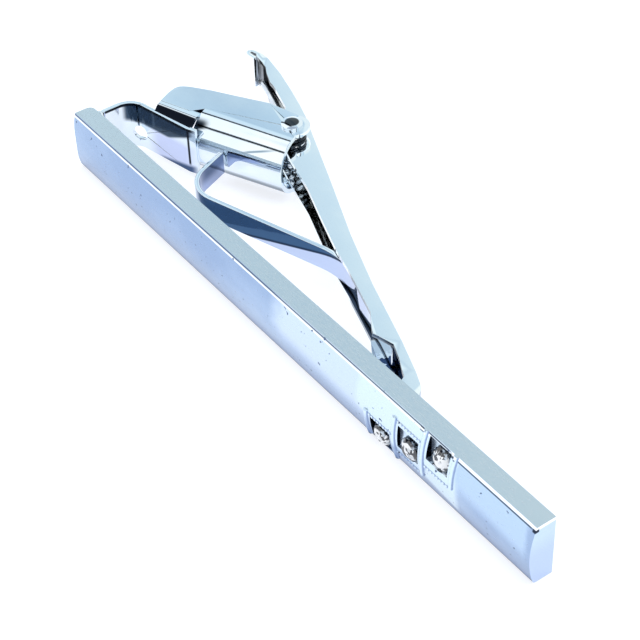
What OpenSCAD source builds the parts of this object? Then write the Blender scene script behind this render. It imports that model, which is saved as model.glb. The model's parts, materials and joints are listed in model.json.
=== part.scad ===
// Tie clip: a crowned bar with three stones, and a sprung clamp arm on its back.
// X runs along the bar, Y out of the bar's back face, Z along the pivot pin.
// The origin is the centre of the bar's back face. Sizes are in millimetres.

/* [Front bar] */
// length of the bar
bar_length = 58; // [50:0.5:66]
// height of the bar's face
bar_height = 5.4; // [5.2:0.1:6.4]
// thickness of the bar along its long edges
bar_edge = 1.6; // [1.5:0.1:2.2]
// how far the crowned front stands out past the long edges
bar_crown = 0.5; // [0.3:0.05:0.8]
// rounding along the two long front edges
bar_round = 0.4; // [0.2:0.05:0.5]
// rounding of the far end, seen from above
end_round = 0.55; // [0.3:0.05:0.8]

/* [Setting frames] */
// distance from the bar's near end to the last frame ridge
frame_inset = 8; // [7:0.25:12]
// distance between two frame ridges
frame_pitch = 3.13; // [2.9:0.05:3.4]
// thickness of the smooth ridge between frames
ridge_thick = 0.5; // [0.4:0.05:0.6]
// how far a ridge stands out of the crowned front
ridge_proud = 0.16; // [0.1:0.02:0.2]
// diameter of one bead in the beaded rows
bead_d = 0.3; // [0.26:0.02:0.32]
// beads in each row
bead_count = 8; // [5:1:8]
// depth of the sunk square inside a frame
pocket_depth = 0.28; // [0.2:0.02:0.35]

/* [Stones] */
// diameter of a stone's girdle, as a share of the bar's height
stone_share = 0.333; // [0.3:0.001:0.345]
// height of the straight girdle
girdle = 0.12; // [0.08:0.02:0.2]
// height of the stone above its girdle
stone_crown = 0.32; // [0.25:0.01:0.4]
// facets round the stone's crown
facets = 8; // [6:1:12]
// how far the girdle stands above the sunk square's floor
stone_rise = 0.17; // [0.1:0.01:0.2]
// room round the girdle in its seat
stone_room = 0.03; // [0.02:0.005:0.05]

/* [Clamp] */
// length of the clamp arm from thumb tip to jaw tip
arm_length = 43.4; // [41:0.2:46]
// distance of the pivot pin from the bar's far end
pivot_inset = 12.55; // [11.5:0.05:14]
// thickness of the arm's sheet
arm_sheet = 0.35; // [0.3:0.01:0.4]
// width of the arm's channel, across both flanges
arm_width = 3; // [2.9:0.02:3.2]
// radius of the arm's lobe round the pin
lobe_r = 1.15; // [1.1:0.01:1.3]
// gap left under the jaw's teeth when the clamp is closed
jaw_gap = 0.05; // [0.03:0.01:0.1]

/* [Bracket] */
// thickness of the bracket's sheet
bracket_sheet = 0.4; // [0.35:0.01:0.45]
// width over both ears
ear_width = 5.26; // [5.1:0.02:5.4]
// outer radius of the bend from web to ear
bend_r = 2.4; // [2.2:0.05:2.5]
// radius of the ear round the pin
ear_lobe_r = 1.5; // [1.3:0.05:1.6]
// angle of the web against the bar
web_angle = 24.2; // [23.4:0.2:24.8]
// height of the foot strip along the pin's direction
foot_height = 4.4; // [4:0.05:4.6]
// radius of the foot strip's round turn, on its outer face
foot_turn = 2; // [1.8:0.05:2.2]
// diameter of the hole in the foot strip
foot_hole_d = 1.3; // [1:0.05:1.6]
// how far the hole sits below the strip's middle
foot_hole_drop = 0.7; // [0:0.05:0.8]

/* [Pivot pin] */
// diameter of the pin's shank
pin_d = 1.1; // [1:0.05:1.2]
// diameter of the pin's head
head_d = 1.8; // [1.7:0.02:2]
// height of the head's straight rim
head_rim = 0.2; // [0.15:0.01:0.25]
// height of the dome over the rim
head_dome = 0.17; // [0.1:0.01:0.2]
// diameter of the peened end
tail_d = 1.5; // [1.4:0.02:1.6]
// height of the peened end
tail_height = 0.05; // [0.03:0.005:0.06]
// running clearance between pin and arm, each side
pin_room = 0.05; // [0.03:0.005:0.08]

/* [Leaf] */
// thickness of the tongue leaf
leaf_sheet = 0.4; // [0.35:0.01:0.45]
// width of the leaf
leaf_width = 2.04; // [1.9:0.02:2.2]
// radius of the leaf's round turn, on its outer face
leaf_turn = 3.1; // [2.8:0.05:3.3]
// radius of the leaf's bow where it enters the arm
leaf_bow = 7; // [4:0.25:7.5]

/* [Spring] */
// diameter of the spring's wire
wire_d = 0.5; // [0.46:0.01:0.52]
// outer diameter of the coil
coil_d = 3; // [2.9:0.02:3.04]
// rise of the wire in one curl
coil_pitch = 1.05; // [0.95:0.01:1.1]
// whole curls between the two legs
coil_turns = 1; // [1:1:1]
// length of the leg that bears on the bracket
web_leg = 4; // [3:0.1:4.6]
// how far the other leg reaches along the arm's thumb plate
leg_reach = 2.4; // [1.4:0.1:2.5]
// how far the wire's ends press into what they bear on
wire_bite = 0.02; // [0.01:0.005:0.03]

/* [Hidden] */
$fn = 64;

// outlines measured off the object, in shares of the arm's length from the pivot
hem_shares = [
  [-0.2650, 0.0926], [-0.2834, 0.0903], [-0.2917, 0.0922], [-0.2963, 0.0979],
  [-0.2963, 0.1048], [-0.2917, 0.1111]
];
web_line_shares = [
  [-0.2841, 0.1129], [-0.2673, 0.1159], [-0.2479, 0.1157], [-0.1885, 0.1041],
  [-0.1263, 0.0866], [-0.0756, 0.0710], [-0.0364, 0.0571], [0.0035, 0.0396],
  [0.1548, -0.0247], [0.3069, -0.0910], [0.4385, -0.1422], [0.5818, -0.1912],
  [0.6544, -0.2189], [0.6820, -0.2316]
];
thumb_edge_shares = [
  [-0.2691, 0.1014], [-0.2435, 0.0979], [-0.2244, 0.0933], [-0.2058, 0.0827],
  [-0.1753, 0.0700], [-0.1597, 0.0675], [-0.0862, 0.0445]
];
jaw_edge_shares = [
  [0.0620, -0.0475], [0.1493, -0.0724], [0.2465, -0.1085], [0.3293, -0.1380],
  [0.3811, -0.1525], [0.4293, -0.1680], [0.4924, -0.1887], [0.5366, -0.2187],
  [0.5472, -0.2154], [0.5804, -0.2074], [0.6115, -0.2203], [0.6323, -0.2318],
  [0.6514, -0.2410]
];
teeth_shares = [
  [0.6590, -0.2550], [0.6645, -0.2661], [0.6725, -0.2525], [0.6805, -0.2661],
  [0.6880, -0.2535], [0.6950, -0.2661]
];
lip_shares = [[0.6950, -0.2400], [0.7035, -0.2520], [0.7035, -0.2661]];
leaf_shares = [
  [-0.0588, -0.1290], [-0.0109, -0.2463], [0.3502, -0.1290], [0.4293, -0.1641]
];
foot_shares = [
  [-0.1982, -0.2673], [-0.2816, -0.2673], [-0.2823, -0.1825], [-0.1290, -0.1491]
];
crease_share = [-0.1244, -0.1521];
foot_hole_share = [-0.2495, -0.1912];
// the way the foot's hole looks, seen from above
foot_hole_angle = 40;
// the ear's outline, from the crease and along the web
ear_shares = [
  [0.1806, 0.1209], [0.1009, 0.1301], [0.0435, 0.1230], [-0.0217, 0.1156],
  [-0.0666, 0.1070], [-0.0781, 0.1031], [-0.0866, 0.0962], [-0.0910, 0.0881],
  [-0.0926, 0.0709], [-0.0915, 0.0406], [-0.0203, 0.0373]
];
// the web's length and the leaf's fixed run, in shares
web_length_share = 0.2005;
leaf_fix_shares = [0.60, 0.97];
// the sunk square's border, in shares of the frame's pitch
pocket_border_share = 0.14;
// lower and upper ends of the frames, their sunk squares and their bead rows, and
// the stones' heights, left to right, in shares of the bar's height from its middle
frame_end_shares = [[-0.454, 0.007], [-0.265, 0.306], [-0.019, 0.500]];
pocket_end_shares = [[-0.422, -0.057], [-0.144, 0.220], [0.100, 0.463]];
row_shares = [[-0.026], [-0.257, 0.272], [-0.043]];
stone_z_shares = [-0.278, -0.028, 0.244];
// how far the stones sit right of their frames' middles, in shares of the frame's pitch
stone_x_shares = [-0.019, 0.038, 0.048];
// how deep a bead sits in the bar, in shares of its diameter
bead_sunk_share = 0.65;
// smallest radius left at the stone's point, in shares of its diameter
culet_share = 0.12;
table_share = 0.56;
stone_angle = 41;
turn_steps = 10;
// how far the coil's centre stands off the pin's, in shares of the wire's radius
coil_off_shares = [-0.6, -1];
rings_per_curl = 8;
wire_sides = 6;

teeth_drop = -teeth_shares[1].y * arm_length;
pivot_x = pivot_inset - bar_length / 2;
pivot_y = teeth_drop + jaw_gap;
stone_d = bar_height * stone_share;
crown_r = (pow(bar_height / 2, 2) + pow(bar_crown, 2)) / (2 * bar_crown);
crown_y = crown_r - bar_edge - bar_crown;
arm_half = arm_width / 2;
ear_half = ear_width / 2;
ear_in = ear_half - bracket_sheet;
pin_r = pin_d / 2;
wire_r = wire_d / 2;
coil_r = coil_d / 2 - wire_r;
web_length = web_length_share * arm_length;
crease = crease_share * arm_length;
foot_hole_at = foot_hole_share * arm_length;
bar_colour = [0.80, 0.84, 0.90];
sheet_colour = [0.72, 0.78, 0.84];
arm_colour = [0.66, 0.73, 0.80];
dark_colour = [0.45, 0.48, 0.55];
stone_colour = [0.90, 0.93, 1.00, 0.6];

function unit(v) = v / norm(v);
function across(v) = [-v.y, v.x];
function reversed(a) = [for (i = [len(a) - 1 : -1 : 0]) a[i]];
function in_mm(a) = [for (p = a) p * arm_length];
function heading(a, i) = unit(a[i + 1] - a[i]);
function corner_normal(a, i) =
  let (
    h0 = heading(a, max(i - 1, 0)),
    h1 = heading(a, min(i, len(a) - 2)),
    m = unit(across(h0) + across(h1))
  )
  m / (m * across(h1));
function beside(a, t) = [for (i = [0 : len(a) - 1]) a[i] + t * corner_normal(a, i)];
function band(a, t) = concat(a, reversed(beside(a, t)));
function rounded(p, q, r, radius) =
  let (
    a = unit(p - q),
    b = unit(r - q),
    half = acos(a * b) / 2,
    c = q + unit(a + b) * radius / sin(half),
    s = q + a * radius / tan(half) - c,
    e = q + b * radius / tan(half) - c,
    a0 = atan2(s.y, s.x),
    turn = (atan2(e.y, e.x) - a0 + 540) % 360 - 180
  )
  [for (k = [0 : turn_steps])
    c + radius * [cos(a0 + turn * k / turn_steps), sin(a0 + turn * k / turn_steps)]];
// where a line from p touches the circle of radius r round the pivot
function touch(p, r, side) =
  let (a = atan2(p.y, p.x) + side * acos(r / norm(p)))
  r * [cos(a), sin(a)];

web_line = in_mm(web_line_shares);
web_run = concat(web_line, in_mm(lip_shares));
arm_back = concat(in_mm(hem_shares), web_run);
thumb_edge = in_mm(thumb_edge_shares);
jaw_edge = in_mm(jaw_edge_shares);
teeth = in_mm(teeth_shares);
leaf_free = in_mm(leaf_shares);
fix_seg = [web_line[10], web_line[11]];
fix_dir = unit(fix_seg[1] - fix_seg[0]);
fix_in = -across(fix_dir) * (arm_sheet + leaf_sheet);
leaf_fix = [for (s = leaf_fix_shares) fix_seg[0] + s * (fix_seg[1] - fix_seg[0]) + fix_in];
leaf_path = concat(
  [leaf_free[0]],
  rounded(leaf_free[0], leaf_free[1], leaf_free[2], leaf_turn),
  rounded(leaf_free[1], leaf_free[2], leaf_free[3], leaf_bow),
  [leaf_free[3]],
  leaf_fix
);
foot_pts = in_mm(foot_shares);
web_dir = [cos(web_angle), sin(web_angle)];
foot_path = concat(
  [foot_pts[0]],
  rounded(foot_pts[0], foot_pts[1], foot_pts[2], bracket_sheet * 2),
  rounded(foot_pts[1], foot_pts[2], foot_pts[3], foot_turn),
  [foot_pts[3], foot_pts[3] + web_dir * bracket_sheet * 2]
);

// puts its children at the pivot
module at_pivot() {
  translate([pivot_x, pivot_y, 0])
    children();
}

// a prism between two heights
module slab(points, low, high) {
  translate([0, 0, low])
    linear_extrude(high - low)
      polygon(points);
}

// one long front edge's waste, outside its rounding
module edge_waste() {
  reach = crown_r - bar_round;
  cz = bar_height / 2 - bar_round;
  cy = crown_y - sqrt(reach * reach - cz * cz);
  out = unit([cy - crown_y, cz]) * bar_height;
  difference() {
    translate([-bar_length, 0, 0])
      rotate([90, 0, 90])
        linear_extrude(bar_length * 2)
          polygon([[cy, cz], [cy, cz] + out, [cy + out.x, bar_height], [cy, bar_height]]);
    translate([-bar_length, cy, cz])
      rotate([0, 90, 0])
        cylinder(r = bar_round, h = bar_length * 2);
  }
}

// the waste outside a rounded corner at the far end
module end_waste(y, side) {
  cx = end_round - bar_length / 2;
  difference() {
    translate([cx - end_round * 2, min(y, y + side * end_round * 2), -bar_height])
      cube([end_round * 2, end_round * 2, bar_height * 2]);
    translate([cx, y, -bar_height])
      cylinder(r = end_round, h = bar_height * 2);
  }
}

// the bar's block under the crowned front
module crowned() {
  intersection() {
    translate([-bar_length / 2, crown_y, 0])
      rotate([0, 90, 0])
        cylinder(r = crown_r, h = bar_length, $fn = 180);
    translate([-bar_length / 2, crown_y - crown_r, -bar_height / 2])
      cube([bar_length, crown_r - crown_y, bar_height]);
  }
}

function frame_x(i) = bar_length / 2 - frame_inset - frame_pitch * (3 - i);
function frame_low(i) = bar_height * frame_end_shares[i][0];
function frame_top(i) = bar_height * frame_end_shares[i][1];
function pocket_low(i) = bar_height * pocket_end_shares[i][0];
function pocket_top(i) = bar_height * pocket_end_shares[i][1];
function crown_at(z) = crown_y - sqrt(crown_r * crown_r - z * z);

// a smooth ridge that follows the crowned front
module ridge(x, low, high) {
  intersection() {
    translate([x, crown_y, 0])
      rotate([0, 90, 0])
        rotate_extrude($fn = 180)
          translate([crown_r + ridge_proud - ridge_thick / 2, 0])
            circle(d = ridge_thick, $fn = 24);
    translate([x - ridge_thick, crown_y - crown_r - ridge_thick, low])
      cube([ridge_thick * 2, crown_r, high - low]);
  }
}

module bead_row(i, z) {
  gap = (frame_pitch - ridge_thick) / bead_count;
  for (k = [0 : bead_count - 1])
    translate([frame_x(i) + ridge_thick / 2 + gap * (k + 1 / 2),
        crown_at(z) + bead_d * (bead_sunk_share - 1 / 2), z])
      sphere(d = bead_d, $fn = 16);
}

// the floor lies under the crown's height a quarter in from the square's outer edge
function pocket_out(i) = max(abs(pocket_low(i)), abs(pocket_top(i)));
function pocket_floor(i) =
  crown_at(pocket_out(i) - (pocket_top(i) - pocket_low(i)) / 4) + pocket_depth;

// the stones lean with the crown they sit in
module stone_place(i) {
  lean = asin(bar_height * stone_z_shares[i] / crown_r);
  translate([frame_x(i) + frame_pitch * (1 / 2 + stone_x_shares[i]),
      pocket_floor(i) - stone_rise, bar_height * stone_z_shares[i]])
    rotate([90 - lean, 0, 0])
      children();
}

stone_r = stone_d / 2;
seat_deep = girdle / 2;
cone_deep = (stone_r - stone_d * culet_share) * tan(stone_angle);

// a stone's round body, from its point to the given height
module stone_round(top) {
  rotate_extrude($fn = 48)
    polygon([
      [0, -seat_deep - cone_deep],
      [stone_d * culet_share, -seat_deep - cone_deep],
      [stone_r, -seat_deep],
      [stone_r, top],
      [0, top]
    ]);
}

module stone() {
  rise = stone_r * (1 - table_share);
  slope = atan2(stone_crown, rise);
  difference() {
    stone_round(girdle + stone_crown - seat_deep);
    for (k = [0 : facets - 1])
      rotate([0, 0, 360 * k / facets])
        translate([stone_r, 0, girdle - seat_deep])
          rotate([0, slope - 90, 0])
            translate([0, -stone_d, 0])
              cube([stone_d, stone_d * 2, stone_d]);
  }
}

module front_bar() {
  color(bar_colour)
    difference() {
      union() {
        difference() {
          crowned();
          edge_waste();
          mirror([0, 0, 1])
            edge_waste();
          end_waste(-end_round, 1);
          end_waste(end_round - bar_edge - bar_crown, -1);
        }
        for (i = [0 : 3])
          ridge(frame_x(i), frame_low(max(i - 1, 0)), frame_top(min(i, 2)));
        for (i = [0 : 2])
          for (r = row_shares[i])
            bead_row(i, bar_height * r);
      }
      for (i = [0 : 2]) {
        border = frame_pitch * pocket_border_share;
        translate([frame_x(i) + border, pocket_floor(i) - bar_height, pocket_low(i)])
          cube([frame_pitch - border * 2, bar_height, pocket_top(i) - pocket_low(i)]);
        stone_place(i) {
          stone_round(bar_height);
          translate([0, 0, -seat_deep])
            cylinder(r = stone_r + stone_room, h = bar_height, $fn = 48);
        }
      }
    }
}

module stone_low() {
  color(stone_colour)
    stone_place(0)
      stone();
}

module stone_middle() {
  color(stone_colour)
    stone_place(1)
      stone();
}

module stone_high() {
  color(stone_colour)
    stone_place(2)
      stone();
}

// the bend from the web into one ear, along the web
module web_bend() {
  cz = ear_half - bend_r;
  intersection() {
    difference() {
      translate([0, bend_r, cz])
        rotate([0, 90, 0])
          cylinder(r = bend_r, h = web_length);
      translate([-web_length, bend_r, cz])
        rotate([0, 90, 0])
          cylinder(r = bend_r - bracket_sheet, h = web_length * 3);
    }
    translate([0, 0, cz])
      cube([web_length, bend_r, bend_r]);
  }
}

module ear() {
  pin_u = -crease * web_dir;
  pin_v = -crease * across(web_dir);
  translate([0, 0, ear_in])
    difference() {
      union() {
        linear_extrude(bracket_sheet)
          polygon(concat([[0, bend_r], [web_length, bend_r]], in_mm(ear_shares)));
        intersection() {
          translate([pin_u, pin_v, 0])
            cylinder(r = ear_lobe_r, h = bracket_sheet);
          translate([0, bend_r, 0])
            cube([arm_length, arm_length, bracket_sheet]);
        }
      }
      translate([pin_u, pin_v, -bracket_sheet])
        cylinder(r = pin_r, h = bracket_sheet * 3);
    }
}

module bracket() {
  color(sheet_colour)
    at_pivot() {
      difference() {
        slab(band(foot_path, -bracket_sheet), -foot_height / 2, foot_height / 2);
        translate([foot_hole_at.x, foot_hole_at.y, -foot_hole_drop])
          rotate([90, 0, foot_hole_angle])
            cylinder(d = foot_hole_d, h = bend_r * 2, center = true);
      }
      translate([crease.x, crease.y, 0])
        rotate([0, 0, web_angle]) {
          translate([0, 0, bend_r - ear_half])
            cube([web_length, bracket_sheet, ear_width - bend_r * 2]);
          web_bend();
          mirror([0, 0, 1])
            web_bend();
          ear();
          mirror([0, 0, 1])
            ear();
        }
    }
}

module pivot_pin() {
  dome_r = (pow(head_d / 2, 2) + pow(head_dome, 2)) / (2 * head_dome);
  color(dark_colour)
    at_pivot() {
      translate([0, 0, -ear_half])
        cylinder(r = pin_r, h = ear_width);
      translate([0, 0, ear_half])
        cylinder(d = head_d, h = head_rim);
      intersection() {
        translate([0, 0, ear_half + head_rim])
          cylinder(d = head_d, h = head_dome);
        translate([0, 0, ear_half + head_rim + head_dome - dome_r])
          sphere(r = dome_r, $fn = 128);
      }
      translate([0, 0, -ear_half - tail_height])
        cylinder(d = tail_d, h = tail_height);
    }
}

module flange() {
  p = thumb_edge[len(thumb_edge) - 1];
  q = jaw_edge[0];
  edge = concat(thumb_edge, [touch(p, lobe_r, 1), touch(q, lobe_r, -1)], jaw_edge, teeth);
  translate([0, 0, arm_half - arm_sheet]) {
    linear_extrude(arm_sheet)
      polygon(concat(reversed(web_run), edge));
    cylinder(r = lobe_r, h = arm_sheet);
  }
}

module clamp_arm() {
  color(arm_colour)
    at_pivot()
      difference() {
        union() {
          slab(band(arm_back, -arm_sheet), -arm_half, arm_half);
          flange();
          mirror([0, 0, 1])
            flange();
        }
        cylinder(r = pin_r + pin_room, h = ear_width * 2, center = true);
      }
}

module tongue_leaf() {
  color(sheet_colour)
    at_pivot()
      slab(band(leaf_path, leaf_sheet), -leaf_width / 2, leaf_width / 2);
}

// the coil stands off the pin a little, so that it clears the arm's web
coil_c = coil_off_shares * wire_r;
// where a tangent from p touches the coil's centre line
function coil_touch(p, side) =
  let (d = p - coil_c, a = atan2(d.y, d.x) + side * acos(coil_r / norm(d)))
  a;
web_end = crease + web_dir * (-crease * web_dir - web_leg)
  + across(web_dir) * (bracket_sheet + wire_r - wire_bite);
back_dir = unit(web_line[3] - web_line[2]);
back_end = web_line[3] - back_dir * leg_reach
  - across(back_dir) * (arm_sheet + wire_r - wire_bite);
turn_from = coil_touch(web_end, 1);
turn_to = coil_touch(back_end, -1) + 360 * coil_turns;
turn_all = turn_to - turn_from;
curl_rings = ceil(turn_all / 360 * rings_per_curl);
coil_high = coil_pitch * turn_all / 360 / 2;
function raised(p, z) = [p.x, p.y, z];
coil_line = [for (k = [0 : curl_rings])
  let (a = turn_from + turn_all * k / curl_rings)
  raised(coil_c + coil_r * [cos(a), sin(a)], coil_high * (1 - 2 * k / curl_rings))];
wire_line = concat(
  [raised(web_end, coil_high)],
  coil_line,
  [raised(back_end, -coil_high)]
);
rings = len(wire_line);
function wire_heading(i) = unit(wire_line[min(i + 1, rings - 1)] - wire_line[max(i - 1, 0)]);
function wire_side(i) = unit(cross([0, 0, 1], wire_heading(i)));
function ring_point(i, k) =
  let (a = 360 * k / wire_sides, up = cross(wire_heading(i), wire_side(i)))
  wire_line[i] + wire_r * (cos(a) * wire_side(i) + sin(a) * up);
wire_points = [for (i = [0 : rings - 1], k = [0 : wire_sides - 1]) ring_point(i, k)];
function at(i, k) = i * wire_sides + k % wire_sides;
wire_faces = concat(
  [[for (k = [0 : wire_sides - 1]) at(0, k)]],
  [for (i = [0 : rings - 2], k = [0 : wire_sides - 1]) [at(i, k), at(i + 1, k), at(i, k + 1)]],
  [for (i = [0 : rings - 2], k = [0 : wire_sides - 1]) [at(i, k + 1), at(i + 1, k), at(i + 1, k + 1)]],
  [[for (k = [wire_sides - 1 : -1 : 0]) at(rings - 1, k)]]
);
// the least distance between two places of the wire's surface, most of a curl apart
least_gap = min([for (i = [0 : curl_rings + 1], j = [i + rings_per_curl - 2 : rings - 1],
  k = [0 : wire_sides - 1], m = [0 : wire_sides - 1]) norm(ring_point(i, k) - ring_point(j, m))]);
echo(least_gap_mm = least_gap, turns = turn_all / 360, coil_end_mm = coil_high);

module torsion_spring() {
  color(dark_colour)
    at_pivot()
      polyhedron(wire_points, wire_faces);
}

front_bar();
stone_low();
stone_middle();
stone_high();
bracket();
pivot_pin();
torsion_spring();
clamp_arm();
tongue_leaf();
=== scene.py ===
import json
import math

import bpy
from mathutils import Matrix, Vector


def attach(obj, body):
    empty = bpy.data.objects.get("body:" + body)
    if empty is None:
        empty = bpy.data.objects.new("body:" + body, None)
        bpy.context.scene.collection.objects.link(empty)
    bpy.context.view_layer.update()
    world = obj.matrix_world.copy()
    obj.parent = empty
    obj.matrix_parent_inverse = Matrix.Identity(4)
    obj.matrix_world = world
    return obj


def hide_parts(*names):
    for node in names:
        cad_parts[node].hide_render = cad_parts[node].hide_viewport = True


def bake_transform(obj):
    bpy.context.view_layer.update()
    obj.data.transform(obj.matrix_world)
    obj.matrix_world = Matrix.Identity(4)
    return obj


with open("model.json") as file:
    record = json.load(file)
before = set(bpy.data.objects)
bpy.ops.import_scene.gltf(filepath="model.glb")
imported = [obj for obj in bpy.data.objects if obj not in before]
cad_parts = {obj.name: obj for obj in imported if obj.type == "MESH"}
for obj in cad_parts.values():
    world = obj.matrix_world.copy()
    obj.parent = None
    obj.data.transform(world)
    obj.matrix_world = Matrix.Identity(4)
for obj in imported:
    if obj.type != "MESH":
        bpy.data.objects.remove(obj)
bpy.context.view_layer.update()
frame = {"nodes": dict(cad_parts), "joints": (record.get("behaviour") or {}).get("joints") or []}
nodes = frame["nodes"]
mm = 0.001
tiny = 1e-7   # metres; points nearer than this are one
pivot = Vector(frame["joints"][0]["pos_m"])
print("frame loaded:", ", ".join(sorted(nodes)))


def only(obj):
    # nothing but obj selected and active, in object mode
    if bpy.context.object and bpy.context.object.mode != "OBJECT":
        bpy.ops.object.mode_set(mode="OBJECT")
    bpy.ops.object.select_all(action="DESELECT")
    if obj is not None:
        obj.select_set(True)
        bpy.context.view_layer.objects.active = obj


def startPicking(obj, kind):
    # nothing of obj picked, and the kind of pick set
    if obj.mode != "OBJECT":
        bpy.ops.object.mode_set(mode="OBJECT")
    bpy.ops.object.mode_set(mode="EDIT")
    bpy.ops.mesh.select_mode(type=kind)
    bpy.ops.mesh.select_all(action="DESELECT")
    bpy.ops.object.mode_set(mode="OBJECT")


def selectFaces(obj, test):
    # picks faces by centre and normal, and leaves obj in edit mode
    startPicking(obj, "FACE")
    for f in obj.data.polygons:
        f.select = test(f.center, f.normal)
    bpy.ops.object.mode_set(mode="EDIT")


def selectVerts(obj, test):
    # picks points by place, and leaves obj in edit mode
    startPicking(obj, "VERT")
    for v in obj.data.vertices:
        v.select = test(v.co)
    bpy.ops.object.mode_set(mode="EDIT")


def fixPlace():
    bpy.ops.object.transform_apply(location=True, rotation=True, scale=True)


def settle(obj, name, finish, smooth=None):
    # place goes into the mesh, normals point outwards, and faces within smooth degrees run on
    only(obj)
    obj.name = name
    obj.data.name = name
    fixPlace()
    bpy.ops.object.mode_set(mode="EDIT")
    bpy.ops.mesh.select_all(action="SELECT")
    bpy.ops.mesh.remove_doubles(threshold=tiny)
    bpy.ops.mesh.normals_make_consistent(inside=False)
    bpy.ops.object.mode_set(mode="OBJECT")
    if smooth is not None:
        bpy.ops.object.shade_smooth_by_angle(angle=math.radians(smooth))
    obj.data.materials.append(finish)


def newFinish(name):
    mat = bpy.data.materials.new(name)
    mat.use_nodes = True
    tree = mat.node_tree
    return mat, tree, tree.nodes["Principled BSDF"]


def ramp(tree, source, stops):
    node = tree.nodes.new("ShaderNodeValToRGB")
    while len(node.color_ramp.elements) < len(stops):
        node.color_ramp.elements.new(0.5)
    for e, (at, colour) in zip(node.color_ramp.elements, stops):
        e.position = at
        e.color = (*colour, 1)
    tree.links.new(source, node.inputs["Fac"])
    return node.outputs["Color"]


def noise(tree, scale, detail, stretch=(1, 1, 1)):
    coord = tree.nodes.new("ShaderNodeTexCoord")
    place = tree.nodes.new("ShaderNodeMapping")
    place.inputs["Scale"].default_value = stretch
    node = tree.nodes.new("ShaderNodeTexNoise")
    node.inputs["Scale"].default_value = scale
    node.inputs["Detail"].default_value = detail
    tree.links.new(coord.outputs["Object"], place.inputs["Vector"])
    tree.links.new(place.outputs["Vector"], node.inputs["Vector"])
    return node.outputs["Fac"]


def bumpBy(tree, height, strength, distance, under=None):
    node = tree.nodes.new("ShaderNodeBump")
    node.inputs["Strength"].default_value = strength
    node.inputs["Distance"].default_value = distance
    tree.links.new(height, node.inputs["Height"])
    if under is not None:
        tree.links.new(under, node.inputs["Normal"])
    return node.outputs["Normal"]


def band(tree, source, start, stop):
    # 0 at start, 1 at stop, held flat outside
    node = tree.nodes.new("ShaderNodeMapRange")
    node.interpolation_type = "SMOOTHSTEP"
    node.inputs["From Min"].default_value = start
    node.inputs["From Max"].default_value = stop
    tree.links.new(source, node.inputs["Value"])
    return node.outputs["Result"]


def times(tree, *sources):
    out = sources[0]
    for other in sources[1:]:
        node = tree.nodes.new("ShaderNodeMath")
        node.operation = "MULTIPLY"
        tree.links.new(out, node.inputs[0])
        tree.links.new(other, node.inputs[1])
        out = node.outputs["Value"]
    return out


def over(tree, under, colour, mask):
    # paints colour over what is there, where mask is 1
    node = tree.nodes.new("ShaderNodeMix")
    node.data_type = "RGBA"
    tree.links.new(mask, node.inputs["Factor"])
    tree.links.new(under, node.inputs["A"])
    if isinstance(colour, tuple):
        node.inputs["B"].default_value = (*colour, 1)
    else:
        tree.links.new(colour, node.inputs["B"])
    return node.outputs["Result"]


def axes(tree, which):
    # x, y and z of the Object or Generated coordinate
    coord = tree.nodes.new("ShaderNodeTexCoord")
    split = tree.nodes.new("ShaderNodeSeparateXYZ")
    tree.links.new(coord.outputs[which], split.inputs["Vector"])
    return split.outputs


def facing(tree, direction, low, high):
    # 1 where the surface looks along direction
    coord = tree.nodes.new("ShaderNodeTexCoord")
    dot = tree.nodes.new("ShaderNodeVectorMath")
    dot.operation = "DOT_PRODUCT"
    dot.inputs[1].default_value = direction
    tree.links.new(coord.outputs["Normal"], dot.inputs[0])
    return band(tree, dot.outputs["Value"], low, high)


def patchMask(tree, p):
    # 1 where the surface faces p's way, between its limits in mm
    coord = tree.nodes.new("ShaderNodeTexCoord")
    spot = tree.nodes.new("ShaderNodeVectorMath")
    spot.operation = "SCALE"
    spot.inputs["Scale"].default_value = 1 / mm
    tree.links.new(coord.outputs["Object"], spot.inputs[0])
    masks = []
    if "face" in p:
        masks.append(facing(tree, p["face"], *p.get("spread", (0.5, 0.8))))
    wobble = p.get("wobble", 0)   # only the first limit is ragged
    for direction, low, high, soft in p["within"]:
        dot = tree.nodes.new("ShaderNodeVectorMath")
        dot.operation = "DOT_PRODUCT"
        dot.inputs[1].default_value = direction
        tree.links.new(spot.outputs["Vector"], dot.inputs[0])
        reach = dot.outputs["Value"]
        if wobble:
            stir = tree.nodes.new("ShaderNodeMath")
            stir.operation = "MULTIPLY_ADD"
            stir.inputs[1].default_value = wobble
            tree.links.new(noise(tree, p.get("grain", 900), 2), stir.inputs[0])
            tree.links.new(reach, stir.inputs[2])
            reach = stir.outputs["Value"]
        if low is not None:
            low += wobble / 2
            masks.append(band(tree, reach, low - soft, low + soft))
        if high is not None:
            high += wobble / 2
            masks.append(band(tree, reach, high + soft, high - soft))
        wobble = 0
    return times(tree, *masks)


def painted(tree, shader, colour, patches):
    rough = shader.inputs["Roughness"].links[0].from_socket
    for p in patches:
        mask = patchMask(tree, p)
        colour = over(tree, colour, p["tint"], mask)
        if "rough" in p:
            node = tree.nodes.new("ShaderNodeMix")
            node.inputs["B"].default_value = p["rough"]
            tree.links.new(mask, node.inputs["Factor"])
            tree.links.new(rough, node.inputs["A"])
            rough = node.outputs["Result"]
    tree.links.new(colour, shader.inputs["Base Color"])
    tree.links.new(rough, shader.inputs["Roughness"])


chromeLook = {
    "tint": (0.84, 0.90, 0.95),
    "tintLow": (0.76, 0.85, 0.93),
    "patchScale": 260,         # soft clouds in the plating, about 4 mm across
    "patchEnds": (0.38, 0.62),
    "waveScale": 420,          # the stamped sheet's slight waves
    "waveHeight": 0.000012,
    "waveStrength": 0.6,
    "scratchScale": 9000,
    "scratchHeight": 0.0000006,
    "scratchStrength": 0.5,
    "scratchEnds": (0.35, 0.75),
    "roughLow": 0.035,
    "roughHigh": 0.11,
}


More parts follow.
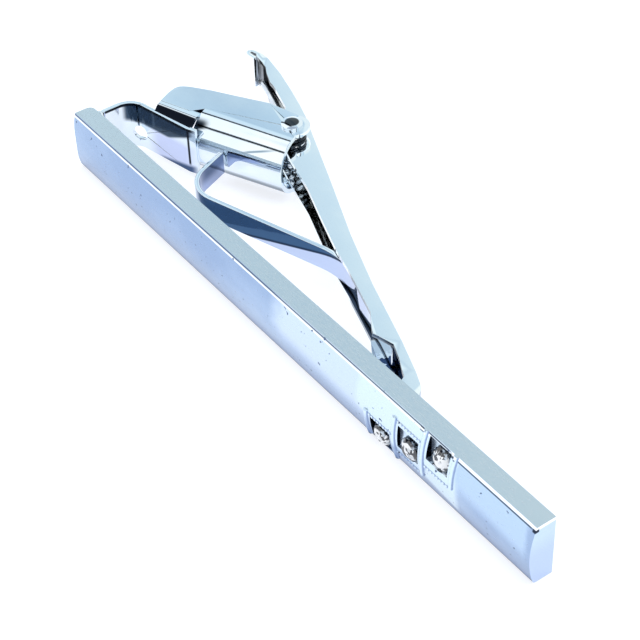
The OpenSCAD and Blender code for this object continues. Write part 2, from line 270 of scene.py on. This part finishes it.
def chromeFinish(name, look, stretch):
    mat, tree, shader = newFinish(name)
    shader.inputs["Metallic"].default_value = 1.0
    low, high = look["patchEnds"]
    clouds = noise(tree, look["patchScale"], 4)
    colour = ramp(tree, clouds, [(low, look["tintLow"]), (high, look["tint"])])
    rough = tree.nodes.new("ShaderNodeMapRange")
    rough.inputs["To Min"].default_value = look["roughLow"]
    rough.inputs["To Max"].default_value = look["roughHigh"]
    rough.inputs["From Min"].default_value = look["scratchEnds"][0]
    rough.inputs["From Max"].default_value = look["scratchEnds"][1]
    scratch = noise(tree, look["scratchScale"], 6, stretch)
    tree.links.new(scratch, rough.inputs["Value"])
    tree.links.new(rough.outputs["Result"], shader.inputs["Roughness"])
    waves = noise(tree, look["waveScale"], 1)
    normal = bumpBy(tree, waves, look["waveStrength"], look["waveHeight"])
    normal = bumpBy(tree, scratch, look["scratchStrength"], look["scratchHeight"], normal)
    tree.links.new(normal, shader.inputs["Normal"])
    return mat, tree, shader, colour


def paintedChrome(name, look, patches, stretch=(0.06, 1, 1)):
    mat, tree, shader, colour = chromeFinish(name, look, stretch)
    painted(tree, shader, colour, patches)
    return mat


upWay = (0, 0, 1)
rightWay = (1, 0, 0)
outWay = (0, 1, 0)


def paintedBackShade(way, dark, pale, low=-0.4, high=1.0):
    # painted shade: grey-blue on what looks away from the photoView camera, with a paler painted
    # reflection along the middle
    return [
        {"tint": dark, "face": way, "spread": (0.2, 0.5), "within": []},
        {"tint": pale, "face": way, "spread": (0.2, 0.5), "within": [(upWay, low, high, 0.45)],
         "wobble": 0.6},
    ]


stripFace = (0.213, -0.977, 0)
sheetPatches = paintedBackShade((-0.35, 0.93, 0), (0.36, 0.43, 0.52), (0.62, 0.69, 0.76)) + [
    # foot strip: painted reflections, lavender with a slate upper half, and painted black shade
    # along its edge and in lines at the crease
    {"tint": (0.58, 0.64, 0.86), "face": stripFace, "within": [
        (upWay, None, 0.45, 0.4), (rightWay, -26.0, -21.5, 0.9)], "wobble": 0.5},
    {"tint": (0.045, 0.075, 0.115), "face": stripFace, "spread": (0.3, 0.6), "within": [
        ((0.9, 0, 1), -24.75, None, 0.25), (rightWay, -29.6, -21.5, 0.35),
        (upWay, 0.3, None, 0.15), ((-0.45, 0, 1), 11.15, None, 0.15)], "wobble": 0.4},
    {"tint": (0.008, 0.012, 0.02), "face": (0.6, -0.8, 0), "spread": (0.4, 0.6), "within": [
        (rightWay, -30.0, -21.3, 0.4), (upWay, 1.93, None, 0.05)]},
    {"tint": (0.05, 0.09, 0.19), "face": stripFace, "within": [
        (rightWay, -25.3, -21.3, 0.5), ((-0.16, 0, 1), None, 1.95, 0.22)]},
    {"tint": (0.008, 0.012, 0.02), "face": stripFace, "within": [
        (rightWay, -21.92, -21.72, 0.04), (upWay, -1.4, 2.2, 0.2)]},
    # web: a painted dark reflection line across its middle, and painted shade on its lower bend
    {"tint": (0.25, 0.34, 0.42), "face": (0.4, -0.916, 0), "spread": (0.6, 0.8), "within": [
        (rightWay, -17.3, -14.2, 0.4), ((-0.33, 0, 1), 6.93, 7.09, 0.06)]},
    {"tint": (0.10, 0.15, 0.22), "face": (0.29, -0.66, -0.69), "spread": (0.88, 0.99), "within": [
        (rightWay, -19.5, -8.0, 0.5)]},
]
sheetChrome = paintedChrome("sheetChrome", chromeLook, sheetPatches)

foldPatches = [
    # painted dark reflection: black on the fold's upward faces below its top edge
    {"tint": (0.006, 0.008, 0.014), "face": upWay, "spread": (0.0, 0.2), "within": [
        (upWay, None, 2.575, 0.015)]},
]
foldChrome = paintedChrome("foldChrome", chromeLook, foldPatches)

webInner = (-0.37, -0.93, 0)
thumbInner = (-0.25, -0.97, 0)
armLook = dict(
    chromeLook,
    # painted light: the chrome made brighter for the arm
    tint=(0.98, 1.0, 1.0),
    tintLow=(0.93, 0.97, 0.99),
    waveHeight=0.000005,
)
armPatches = paintedBackShade((0.3, 0.95, 0), (0.33, 0.40, 0.49), (0.60, 0.67, 0.74)) + [
    # painted shade inside the channel below the leaf's entry and on the lower flange, then painted
    # dark and light reflections on the flange by the jaw
    {"tint": (0.16, 0.21, 0.27), "face": webInner, "within": [(rightWay, 0.5, 14.0, 0.6)],
     "wobble": 1.5},
    {"tint": (0.04, 0.06, 0.09), "face": upWay, "within": [
        (rightWay, -4.0, 5.2, 0.3), (upWay, None, -0.9, 0.05)], "wobble": 1.0},
    {"tint": (0.42, 0.52, 0.62), "face": upWay, "within": [
        (rightWay, 5.2, 7.2, 0.15), (upWay, None, -0.9, 0.05)], "wobble": 1.0},
    {"tint": (0.03, 0.06, 0.14), "face": upWay, "within": [
        (rightWay, 7.0, 14.0, 0.15), (upWay, None, -0.9, 0.05)], "wobble": 1.6},
    {"tint": (0.55, 0.66, 0.76), "face": upWay, "within": [
        ((0, 0, 0.01), 0.35, None, 0.05), (rightWay, 6.5, 9.5, 0.2), (upWay, None, -0.9, 0.05)],
     "wobble": 6.0, "grain": 1500},
    {"tint": (0.02, 0.03, 0.05), "face": webInner, "within": [(rightWay, 8.0, 13.4, 0.5)],
     "wobble": 1.5},
    # thumb plate's inner face painted pale and made rough as a painted sheen, and painted shade in
    # the slot beside it
    {"tint": (1.0, 1.0, 1.0), "rough": 0.6, "face": thumbInner, "spread": (0.0, 0.2), "within": [
        (rightWay, None, -24.5, 0.3), (upWay, -1.6, 1.42, 0.03)]},
    {"tint": (0.01, 0.012, 0.015), "face": thumbInner, "within": [
        (rightWay, -27.6, -22.8, 0.15), (upWay, -1.1, None, 0.1)]},
]
armChrome = paintedChrome("armChrome", armLook, armPatches)

leafFace = (0.309, -0.951, 0)
leafRoot = (0.926, 0.378, 0)
leafSlant = (-0.1902, -0.0618, 1)   # across the line between the painted dark reflection and the lavender half
leafLook = dict(
    chromeLook,
    tint=(0.84, 0.90, 0.96),
    tintLow=(0.78, 0.86, 0.94),
    waveHeight=0.00003,
)
leafPatches = paintedBackShade((-0.309, 0.951, 0), (0.42, 0.49, 0.60), (0.64, 0.71, 0.80)) + [
    # painted reflections: lavender, a dark blue upper part with a black wavy line; painted shade
    # along both long edges and on the root
    {"tint": (0.52, 0.60, 0.80), "face": leafFace, "within": [(rightWay, -16.0, 4.0, 1.0)]},
    {"tint": (0.045, 0.105, 0.21), "face": leafFace, "within": [
        (rightWay, -15.9, -0.5, 0.9), (leafSlant, 0.85, None, 0.06)], "wobble": 0.25},
    {"tint": (0.012, 0.03, 0.07), "face": leafFace, "within": [
        (rightWay, -11.2, -1.4, 0.2), (leafSlant, 0.80, 1.02, 0.05)], "wobble": 0.25},
    {"tint": (0.02, 0.035, 0.07), "face": leafFace, "within": [
        (rightWay, -1.5, 12.0, 0.5), (upWay, None, -0.82, 0.04)]},
    {"tint": (0.10, 0.15, 0.24), "face": leafFace, "within": [
        (rightWay, -1.0, 12.0, 0.5), (upWay, 0.86, None, 0.04)]},
    {"tint": (0.33, 0.40, 0.62), "face": leafRoot, "within": [(outWay, 1.6, None, 0.5)]},
    {"tint": (0.10, 0.15, 0.28), "face": leafRoot, "within": [
        (outWay, 3.2, None, 0.9), (upWay, -0.1, None, 0.5)]},
]
leafChrome = paintedChrome("leafChrome", leafLook, leafPatches)

pinLook = dict(chromeLook, waveHeight=0.000004, patchScale=900)
pinPatches = [
    # painted dark reflection on the centre of the head
    {"tint": (0.05, 0.06, 0.07), "face": upWay, "within": [(upWay, 2.925, None, 0.01)]},
]
pinChrome = paintedChrome("pinChrome", pinLook, pinPatches, (1, 1, 1))

barLook = dict(
    chromeLook,
    front=(0.30, 0.40, 0.57),      # painted reflection: the front's lavender, on satin plating
    frontPale=(0.42, 0.53, 0.69),
    frontEnds=(0.40, 0.68),
    frontScale=150,
    frontStretch=(0.5, 1, 1),
    frontLow=(0.22, 0.31, 0.50),   # painted shade towards the lower edge
    lowBand=(-0.9 * mm, -2.5 * mm),
    end=(0.56, 0.68, 0.80),
    patchScale=330,
    waveHeight=0.000008,
    scratchHeight=0.0000012,
    roughLow=0.16,
    roughHigh=0.32,
)
frontFace = (0, -1, 0)
barPatches = (
    paintedBackShade(outWay, (0.50, 0.57, 0.65), (0.70, 0.77, 0.84), -0.6, 1.6)
    + paintedBackShade((-1, 0, 0), (0.34, 0.44, 0.60), (0.56, 0.66, 0.80), -0.2, 1.8)
) + [
    # painted shade over the top, painted light reflections along the front's upper part, painted
    # shade along its lower edge
    {"tint": (0.66, 0.72, 0.76), "face": upWay, "spread": (0.8, 0.95), "within": [
        (upWay, 2.0, None, 0.1)]},
    {"tint": (0.60, 0.70, 0.83), "face": frontFace, "within": [
        (rightWay, 0.5, 13.0, 1.2), ((0.05, 0, 1), -0.2, None, 0.9)], "wobble": 1.0},
    {"tint": (0.66, 0.78, 0.88), "face": frontFace, "within": [
        (rightWay, 10.5, 21.6, 0.4), ((0.16, 0, 1), 1.5, None, 0.3)], "wobble": 0.4},
    {"tint": (0.47, 0.60, 0.76), "face": frontFace, "within": [
        (rightWay, 21.4, 28.4, 0.3), ((0.1, 0, 1), 2.7, None, 0.7)], "wobble": 0.8},
    {"tint": (0.13, 0.22, 0.42), "face": frontFace, "spread": (0.1, 0.4), "within": [
        (upWay, None, -2.00, 0.28)]},
    {"tint": (0.03, 0.06, 0.13), "face": frontFace, "spread": (0.1, 0.3), "within": [
        (upWay, None, -2.31, 0.05)]},
    # end face: painted reflections, lavender below, a painted highlight along its top, painted
    # shade in a spot at the corner
    {"tint": (0.50, 0.60, 0.80), "face": rightWay, "within": [
        (upWay, None, 0.8, 1.2), (rightWay, 28.5, None, 0.1)]},
    {"tint": (1.0, 1.0, 1.0), "face": rightWay, "within": [
        (upWay, 2.42, None, 0.05), (rightWay, 28.5, None, 0.1)]},
    {"tint": (0.02, 0.03, 0.05), "face": (0.6, -0.7, 0.4), "spread": (0.5, 0.6), "within": [
        (upWay, 2.22, 2.50, 0.04), (outWay, None, -1.42, 0.04), (rightWay, 28.72, None, 0.04)]},
    # painted dark reflections at the tops of two ridges
    {"tint": (0.02, 0.03, 0.05), "face": frontFace, "spread": (0.1, 0.3), "within": [
        (rightWay, 17.25, 17.72, 0.05), (upWay, 2.30, 2.60, 0.05)]},
    {"tint": (0.02, 0.03, 0.05), "face": frontFace, "spread": (0.1, 0.3), "within": [
        (rightWay, 20.45, 20.90, 0.05), (upWay, 2.28, 2.58, 0.05)]},
    # painted shade on the steps' sides and on the walls in the sunk squares
    {"tint": (0.28, 0.36, 0.54), "face": rightWay, "within": [
        (rightWay, 10.8, 21.6, 0.05), (outWay, -2.4, -0.5, 0.05)]},
    {"tint": (0.10, 0.14, 0.20), "face": (0, 0, -1), "within": [
        (rightWay, 10.8, 21.6, 0.05), (outWay, -2.0, -0.5, 0.05)]},
] + [
    # painted shade on one wall of each sunk square
    {"tint": (0.012, 0.016, 0.03), "face": rightWay, "within": [
        (rightWay, x - 0.15, x + 0.15, 0.03), (outWay, -2.1, -0.5, 0.05)]}
    for x in (12.05, 15.18, 18.31)
] + [
    # painted highlight and painted dark reflection line along the upper front edge, changed over
    # at the frames
    {"tint": (0.98, 1.0, 1.0), "face": (0, -0.80, 0.60), "spread": (0.90, 0.93), "within": [
        (rightWay, None, 20.5, 0.5), (upWay, 2.38, 2.52, 0.03)]},
    {"tint": (0.03, 0.04, 0.06), "face": (0, -0.60, 0.80), "spread": (0.80, 0.85), "within": [
        (rightWay, None, 20.5, 0.5), (upWay, 2.54, 2.655, 0.02)]},
    {"tint": (0.04, 0.06, 0.09), "face": (0, -0.80, 0.60), "spread": (0.90, 0.93), "within": [
        (rightWay, 20.5, 28.7, 0.3), (upWay, 2.34, 2.44, 0.03)]},
    {"tint": (1.0, 1.0, 1.0), "face": (0, -0.60, 0.80), "spread": (0.75, 0.80), "within": [
        (rightWay, 20.5, None, 0.3), (upWay, 2.47, 2.68, 0.02)]},
    # small dark nicks in the plating
    {"tint": (0.10, 0.14, 0.22), "face": frontFace, "within": [((0, 0, 0.01), 2.05, None, 0.06)],
     "wobble": 10.0, "grain": 2000},
]


def barFinish(look, patches):
    mat, tree, shader, colour = chromeFinish("barChrome", look, (0.25, 1, 1))
    # painted reflection and shade: lavender over the front faces, darker towards the lower edge,
    # grey-blue over the end faces
    clouds = noise(tree, look["frontScale"], 5, look["frontStretch"])
    dull, pale = look["frontEnds"]
    front = ramp(tree, clouds, [(dull, look["front"]), (pale, look["frontPale"])])
    low = band(tree, axes(tree, "Object")["Z"], *look["lowBand"])
    front = over(tree, front, look["frontLow"], low)
    colour = over(tree, colour, front, facing(tree, frontFace, 0.25, 0.6))
    colour = over(tree, colour, look["end"], facing(tree, rightWay, 0.75, 0.90))
    painted(tree, shader, colour, patches)
    return mat


barChrome = barFinish(barLook, barPatches)

steelLook = dict(
    chromeLook,
    tint=(0.70, 0.75, 0.80),
    tintLow=(0.55, 0.60, 0.66),
    patchScale=1200,
    waveHeight=0.000003,
)
springSteel = paintedChrome("springSteel", steelLook, [], (1, 1, 1))

stoneLook = {
    "ior": 1.9,
    "clear": 0.25,
    "facetScale": 3900,   # painted facet reflections: the foil behind, broken up by the facets into black, grey and white
    "tones": [
        (0.36, (0.002, 0.003, 0.006)),
        (0.39, (0.35, 0.42, 0.48)),
        (0.50, (1, 1, 1)),
    ],
    "rimRough": 0.02,
    "rimScale": 2600,
    "rimTones": [
        (0.55, (0.004, 0.005, 0.01)),
        (0.66, (0.5, 0.58, 0.66)),
    ],
}


def stoneFinish(look):
    mat, tree, shader = newFinish("clearStone")
    shader.inputs["Roughness"].default_value = 0.0
    shader.inputs["IOR"].default_value = look["ior"]
    shader.inputs["Transmission Weight"].default_value = look["clear"]
    coord = tree.nodes.new("ShaderNodeTexCoord")
    cells = tree.nodes.new("ShaderNodeTexVoronoi")
    cells.inputs["Scale"].default_value = look["facetScale"]
    tree.links.new(coord.outputs["Object"], cells.inputs["Vector"])
    split = tree.nodes.new("ShaderNodeSeparateColor")
    tree.links.new(cells.outputs["Color"], split.inputs["Color"])
    tone = ramp(tree, split.outputs["Red"], look["tones"])
    tree.links.new(tone, shader.inputs["Base Color"])
    return mat


def rimShadowFinish(look):
    # painted shadow: the dark crescent at the stone's rim, mottled black to grey
    mat, tree, shader = newFinish("stoneRimShadow")
    shader.inputs["Roughness"].default_value = look["rimRough"]
    shader.inputs["IOR"].default_value = look["ior"]
    tone = ramp(tree, noise(tree, look["rimScale"], 2), look["rimTones"])
    tree.links.new(tone, shader.inputs["Base Color"])
    return mat


clearStone = stoneFinish(stoneLook)
stoneRimShadow = rimShadowFinish(stoneLook)
print("finishes made")

edges = {"weld": 0.002 * mm, "segments": 3, "sharp": 32}
dressing = {   # finish, and the edges' softness in mm
    "front_bar": (barChrome, 0.04),
    "bracket": (sheetChrome, 0.06),
    "clamp_arm": (armChrome, 0.05),
    "tongue_leaf": (leafChrome, 0.05),
    "pivot_pin": (pinChrome, 0.03),
}
for name, (finish, soft) in dressing.items():
    node = nodes[name]
    node.data.materials.clear()
    node.data.materials.append(finish)
    weld = node.modifiers.new("joinEdges", "WELD")
    weld.merge_threshold = edges["weld"]
    edge = node.modifiers.new("softEdges", "BEVEL")
    edge.width = soft * mm
    edge.segments = edges["segments"]
    edge.limit_method = "ANGLE"
    edge.angle_limit = math.radians(edges["sharp"])
    edge.harden_normals = False
    even = node.modifiers.new("evenShade", "WEIGHTED_NORMAL")
    even.keep_sharp = False
print("frame nodes dressed")


stoneCut = {
    "sides": 8,
    "radius": 0.885 * mm,
    "girdle": 0.12 * mm,
    "crown": 0.30 * mm,
    "pavilion": 0.46 * mm,
    # each next ring: its radius against the last one's, and its share of the height
    "crownRings": ((0.80, 0.55), (0.56 / 0.80, 0.45)),
    "pavilionRings": ((0.55, 0.5), (0.16 / 0.55, 0.5)),
    "rimFrom": 0.74,      # painted shadow: the dark crescent that the square's wall throws
    "rimEnd": -0.2,
    # girdle's centre, and how far the stone leans up with the bar's crown
    "seats": {
        "low": ((13.115 * mm, -1.775 * mm, -1.50 * mm), -11.5),
        "middle": ((16.424 * mm, -1.958 * mm, -0.15 * mm), -1.1),
        "high": ((19.585 * mm, -1.717 * mm, 1.32 * mm), 10.1),
    },
}


def cutRings(obj, rings, height, side, turn):
    # extrudes the end face ring by ring, each smaller and turned by half a facet
    for share, rise in rings:
        selectFaces(obj, lambda c, n: n.y * side > 0.95)
        bpy.ops.mesh.extrude_region_move(
            TRANSFORM_OT_translate={"value": (0, side * height * rise, 0)})
        bpy.ops.transform.resize(value=(share, 1, share), center_override=(0, 0, 0))
        bpy.ops.transform.rotate(value=turn, orient_axis="Y", center_override=(0, 0, 0))


def cutStone(tail, s):
    place, lean = s["seats"][tail]
    only(None)
    bpy.ops.mesh.primitive_cylinder_add(
        vertices=s["sides"] * 2, radius=s["radius"], depth=s["girdle"],
        location=(0, 0, 0), rotation=(math.radians(90), 0, 0))
    obj = bpy.context.object
    fixPlace()
    step = math.radians(180 / s["sides"] / 2)
    cutRings(obj, s["crownRings"], s["crown"], -1, step)
    cutRings(obj, s["pavilionRings"], s["pavilion"], 1, step)
    bpy.ops.mesh.select_all(action="SELECT")
    bpy.ops.mesh.quads_convert_to_tris()
    bpy.ops.object.mode_set(mode="OBJECT")
    obj.location = place
    obj.rotation_euler = (-math.radians(lean), 0, 0)
    settle(obj, "cutStone_" + tail, clearStone)
    obj.data.materials.append(stoneRimShadow)
    # painted shadow: the rim faces on the upper left take the dark finish
    for f in obj.data.polygons:
        out = Vector((f.center.x - place[0], 0, f.center.z - place[2]))
        if out.length > s["radius"] * s["rimFrom"] and out.z - out.x > s["rimEnd"] * out.length:
            f.material_index = 1
    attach(obj, "base")
    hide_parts("stone_" + tail)


for tail in stoneCut["seats"]:
    cutStone(tail, stoneCut)
print("stones cut")


spring = {
    "wire": 0.56 * mm,
    "sides": 14,
    "coilRadius": 1.22 * mm,
    "pitch": 0.70 * mm,
    "turns": 2.318,
    "firstAngle": -42.2,              # where the bracket's leg meets the coil
    "off": (-0.15 * mm, -0.25 * mm),  # the coil's centre from the pin's
    "bracketLeg": (-2.36 * mm, -4.52 * mm),
    "armLeg": (-10.67 * mm, 4.375 * mm),
    "stepsPerTurn": 40,
    "endInset": 0.12,                 # the rounded wire ends, in shares of the wire
    "endDome": 0.06,
}


def woundSpring(s):
    high = s["pitch"] * s["turns"] / 2
    centre = Vector((pivot.x + s["off"][0], pivot.y + s["off"][1], 0))
    first = math.radians(s["firstAngle"])
    only(None)
    bpy.ops.mesh.primitive_circle_add(
        vertices=s["sides"], radius=s["wire"] / 2,
        location=(s["coilRadius"], 0, 0), rotation=(math.radians(90), 0, 0))
    obj = bpy.context.object
    fixPlace()
    winding = obj.modifiers.new("winding", "SCREW")
    winding.axis = "Z"
    winding.angle = math.tau * s["turns"]
    winding.screw_offset = -high * 2
    winding.steps = int(s["stepsPerTurn"] * s["turns"])
    winding.render_steps = winding.steps
    winding.use_merge_vertices = False
    bpy.ops.object.modifier_apply(modifier="winding")
    lift = Matrix.Translation(centre + Vector((0, 0, high)))
    obj.data.transform(lift @ Matrix.Rotation(first, 4, "Z"))
    last = first + math.tau * s["turns"]
    ends = (
        (first, high, s["bracketLeg"]),
        (last, -high, s["armLeg"]),
    )
    for angle, z, tip in ends:
        flat = Vector((math.cos(angle), math.sin(angle), 0))
        start = centre + flat * s["coilRadius"]
        start.z = z
        along = flat.cross(Vector((0, 0, 1)))
        go = Vector((pivot.x + tip[0], pivot.y + tip[1], z)) - start
        # the end's ring lies in one plane, about half a wire from its middle
        selectVerts(obj, lambda c: abs((c - start).dot(along)) < s["wire"] * 0.05
                    and (c - start).length < s["wire"] * 0.6)
        bpy.ops.mesh.select_mode(type="EDGE")
        bpy.ops.mesh.extrude_region_move(TRANSFORM_OT_translate={"value": go})
        bpy.ops.mesh.edge_face_add()
        bpy.ops.mesh.select_mode(type="FACE")
        bpy.ops.mesh.inset(thickness=s["wire"] * s["endInset"])
        bpy.ops.transform.translate(value=go.normalized() * s["wire"] * s["endDome"])
        bpy.ops.object.mode_set(mode="OBJECT")
    settle(obj, "woundSpring", springSteel, 40)
    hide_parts("torsion_spring")
    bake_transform(obj)


woundSpring(spring)
print("spring wound")


# the fold's run-out between the ear and the foot strip
runOut = {
    "crease": (pivot.x - 5.40 * mm, pivot.y - 6.60 * mm),
    "turn": 24.2,            # the web's way
    "length": 3.9 * mm,
    "past": 0.05 * mm,       # how far it runs past the crease
    "sheet": 0.25 * mm,
    # across the web and up, at the crease and at the far end, row by row
    "rows": (
        ((1.75, 2.49), (1.90, 2.49)),
        ((1.15, 2.49), (1.45, 2.49)),
        ((1.00, 2.45), (1.30, 2.45)),
        ((0.85, 2.38), (1.18, 2.38)),
        ((0.65, 2.26), (1.05, 2.28)),
        ((0.40, 2.15), (0.92, 2.18)),
        ((0.05, 2.10), (0.76, 2.12)),
    ),
}


def foldRunOut(s):
    turn = math.radians(s["turn"])

    def spot(along, across, up):
        x = s["crease"][0] + along * math.cos(turn) - across * mm * math.sin(turn)
        y = s["crease"][1] + along * math.sin(turn) + across * mm * math.cos(turn)
        return Vector((x, y, up * mm))

    rows = [(spot(s["past"], *near), spot(-s["length"], *far)) for near, far in s["rows"]]
    only(None)
    bpy.ops.mesh.primitive_plane_add(size=mm, location=rows[0][0])
    obj = bpy.context.object
    fixPlace()
    # down to one edge, laid along the first row
    selectVerts(obj, lambda c: c.x > rows[0][0].x)
    bpy.ops.mesh.delete(type="VERT")
    bpy.ops.object.mode_set(mode="OBJECT")
    ends = [v.co.copy() for v in obj.data.vertices]
    for end, goal in zip(ends, rows[0]):
        selectVerts(obj, lambda c: (c - end).length < tiny)
        bpy.ops.transform.translate(value=goal - end)
    for last, row in zip(rows, rows[1:]):
        selectVerts(obj, lambda c: min((c - q).length for q in last) < tiny * 10)
        bpy.ops.mesh.select_mode(type="EDGE")
        step = row[0] - last[0]
        bpy.ops.mesh.extrude_region_move(TRANSFORM_OT_translate={"value": step})
        selectVerts(obj, lambda c: (c - last[1] - step).length < tiny * 10)
        bpy.ops.transform.translate(value=row[1] - last[1] - step)
    bpy.ops.object.mode_set(mode="OBJECT")
    sheet = obj.modifiers.new("sheet", "SOLIDIFY")
    sheet.thickness = s["sheet"]
    sheet.offset = 0
    bpy.ops.object.modifier_apply(modifier="sheet")
    settle(obj, "foldRunOut", foldChrome, 40)
    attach(obj, "base")


foldRunOut(runOut)
print("fold run out")


# the collar between the ear and the arm
collarLook = dict(
    chromeLook,
    tint=(0.035, 0.04, 0.05),
    tintLow=(0.015, 0.02, 0.025),
    patchScale=1500,
)
collarPatches = [
    # painted highlight: ragged white dashes round the collar's waist
    {"tint": (1.0, 1.0, 1.0), "within": [
        ((0, 0, 0.01), 0.25, None, 0.05), (upWay, 1.86, 1.96, 0.01)],
     "wobble": 6.0, "grain": 1900},
]
collarChrome = paintedChrome("collarChrome", collarLook, collarPatches, (1, 1, 1))

collar = {
    "sides": 48,
    # radius and height, once round the turned section
    "section": (
        (0.56, 1.54), (1.10, 1.54), (1.17, 1.60), (1.17, 1.74), (1.09, 1.80), (1.09, 1.96),
        (1.17, 2.02), (1.17, 2.14), (1.10, 2.20), (0.56, 2.20), (0.56, 1.54),
    ),
}


def pinCollar(s):
    first = s["section"][0]
    only(None)
    bpy.ops.mesh.primitive_circle_add(
        vertices=s["sides"], radius=first[0] * mm, location=(pivot.x, pivot.y, first[1] * mm))
    obj = bpy.context.object
    fixPlace()
    bpy.ops.object.mode_set(mode="EDIT")
    bpy.ops.mesh.select_mode(type="EDGE")
    bpy.ops.mesh.select_all(action="SELECT")
    for (wide, high), (nextWide, nextHigh) in zip(s["section"], s["section"][1:]):
        bpy.ops.mesh.extrude_region_move(
            TRANSFORM_OT_translate={"value": (0, 0, (nextHigh - high) * mm)})
        grow = nextWide / wide
        bpy.ops.transform.resize(
            value=(grow, grow, 1), center_override=(pivot.x, pivot.y, nextHigh * mm))
    bpy.ops.object.mode_set(mode="OBJECT")
    settle(obj, "pinCollar", collarChrome, 35)
    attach(obj, "base")


pinCollar(collar)
print("collar turned")


# solder where the foot meets the bar
solder = {
    "size": (0.55 * mm, 0.34 * mm, 0.42 * mm),
    "place": (pivot.x - 11.75 * mm, 0.26 * mm, 2.02 * mm),
    "spread": (1.25, 1, 1.2),   # run-out towards the bar's face
    "lumpScale": 0.4 * mm,
    "lumpHeight": 0.12 * mm,
    "flatAt": 0.01 * mm,
}


def solderDrop(s):
    only(None)
    bpy.ops.mesh.primitive_uv_sphere_add(segments=24, ring_count=14, radius=1, location=s["place"])
    obj = bpy.context.object
    obj.scale = s["size"]
    fixPlace()
    selectVerts(obj, lambda c: c.y < s["place"][1] - s["size"][1] * 0.3)
    bpy.ops.transform.resize(value=s["spread"], center_override=s["place"])
    bpy.ops.object.mode_set(mode="OBJECT")
    lump = bpy.data.textures.new("solderLumps", "CLOUDS")
    lump.noise_scale = s["lumpScale"]
    push = obj.modifiers.new("lumps", "DISPLACE")
    push.texture = lump
    push.strength = s["lumpHeight"]
    bpy.ops.object.modifier_apply(modifier="lumps")
    selectFaces(obj, lambda c, n: True)
    bpy.ops.mesh.bisect(
        plane_co=(0, s["flatAt"], 0), plane_no=outWay, clear_inner=True, use_fill=True)
    bpy.ops.object.mode_set(mode="OBJECT")
    settle(obj, "solderDrop", sheetChrome, 50)
    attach(obj, "base")


solderDrop(solder)
print("solder set")


floorLook = {"half": 1.5, "z": -0.00271, "glow": 0.72, "shade": (0.36, 0.39, 0.46)}
only(None)
bpy.ops.mesh.primitive_plane_add(size=floorLook["half"] * 2, location=(0, 0, floorLook["z"]))
floor = bpy.context.object
floor.name = "paperFloor"
paper, paperTree, paperShader = newFinish("paper")
paperShader.inputs["Base Color"].default_value = (*floorLook["shade"], 1)
paperShader.inputs["Roughness"].default_value = 0.9
paperShader.inputs["Specular IOR Level"].default_value = 0.0
paperShader.inputs["Emission Color"].default_value = (1, 1, 1, 1)
paperShader.inputs["Emission Strength"].default_value = floorLook["glow"]
floor.data.materials.append(paper)

studio = {
    # the direction's y, and its colour: a white tent with two dark gaps and a grey-blue wall
    "walls": [
        (-1.00, (1.15, 1.18, 1.20)),
        (-0.67, (1.15, 1.18, 1.20)),
        (-0.63, (0.01, 0.02, 0.03)),
        (-0.57, (0.01, 0.02, 0.03)),
        (-0.53, (1.20, 1.22, 1.24)),
        (0.11, (1.15, 1.20, 1.22)),
        (0.14, (0.01, 0.02, 0.03)),
        (0.20, (0.02, 0.03, 0.05)),
        (0.235, (0.80, 0.92, 1.00)),
        (0.363, (0.78, 0.95, 1.03)),
        (0.423, (0.53, 0.69, 0.82)),
        (0.459, (0.62, 0.79, 0.90)),
        (0.490, (0.87, 0.98, 1.00)),
        (1.00, (0.95, 1.00, 1.00)),
    ],
    # darker straight overhead, so that the tops stand off the paper when seen from above
    "roof": (0.42, 0.50, 0.60),
    "roofFrom": 0.88,
    "roofTo": 0.95,
}


def studioWorld(look):
    world = bpy.data.worlds.new("studio")
    bpy.context.scene.world = world
    world.use_nodes = True
    tree = world.node_tree
    way = axes(tree, "Generated")
    share = tree.nodes.new("ShaderNodeMath")   # -1 to 1 becomes 0 to 1
    share.operation = "MULTIPLY_ADD"
    share.inputs[1].default_value = 0.5
    share.inputs[2].default_value = 0.5
    tree.links.new(way["Y"], share.inputs[0])
    stops = [((y + 1) / 2, colour) for y, colour in look["walls"]]
    sky = ramp(tree, share.outputs["Value"], stops)
    sky = over(tree, sky, look["roof"], band(tree, way["Z"], look["roofFrom"], look["roofTo"]))
    tree.links.new(sky, tree.nodes["Background"].inputs["Color"])
    tree.nodes["Background"].inputs["Strength"].default_value = 1.0


studioWorld(studio)

lamps = {   # place, size, watts, colour
    "overhead": ((0.05, 0.10, 0.45), 0.30, 1.1, (1, 1, 1)),
    "leftFill": ((-0.35, -0.25, 0.25), 0.25, 0.5, (0.95, 0.98, 1)),
}


def softLight(name, place, size, watts, colour):
    data = bpy.data.lights.new(name, "AREA")
    data.shape = "DISK"
    data.size = size
    data.energy = watts
    data.color = colour
    obj = bpy.data.objects.new(name, data)
    bpy.context.scene.collection.objects.link(obj)
    obj.location = place
    obj.rotation_euler = (-Vector(place)).to_track_quat("-Z", "Y").to_euler()   # at the origin
    obj.visible_glossy = False   # or its disk mirrors itself in the tops


for name, settings in lamps.items():
    softLight(name, *settings)

lens = {
    "place": (0.0842235, -0.0554106, 0.0884922),
    "right": (0.5877, 0.8085, -0.0313),
    "up": (-0.5235, 0.4095, 0.7471),
    "back": (0.6169, -0.4227, 0.6639),
    "focal": 101.25,
    "sensor": 36,
    "near": 0.005,
    "far": 5,
}


def photoView(s):
    data = bpy.data.cameras.new("photoView")
    data.sensor_width = s["sensor"]
    data.lens = s["focal"]
    data.clip_start = s["near"]
    data.clip_end = s["far"]
    obj = bpy.data.objects.new("photoView", data)
    bpy.context.scene.collection.objects.link(obj)
    columns = [(*s[k], 0) for k in ("right", "up", "back")] + [(*s["place"], 1)]
    obj.matrix_world = Matrix(columns).transposed()
    bpy.context.scene.camera = obj


photoView(lens)
bpy.context.scene.view_settings.view_transform = "Standard"
print("studio set")

only(None)
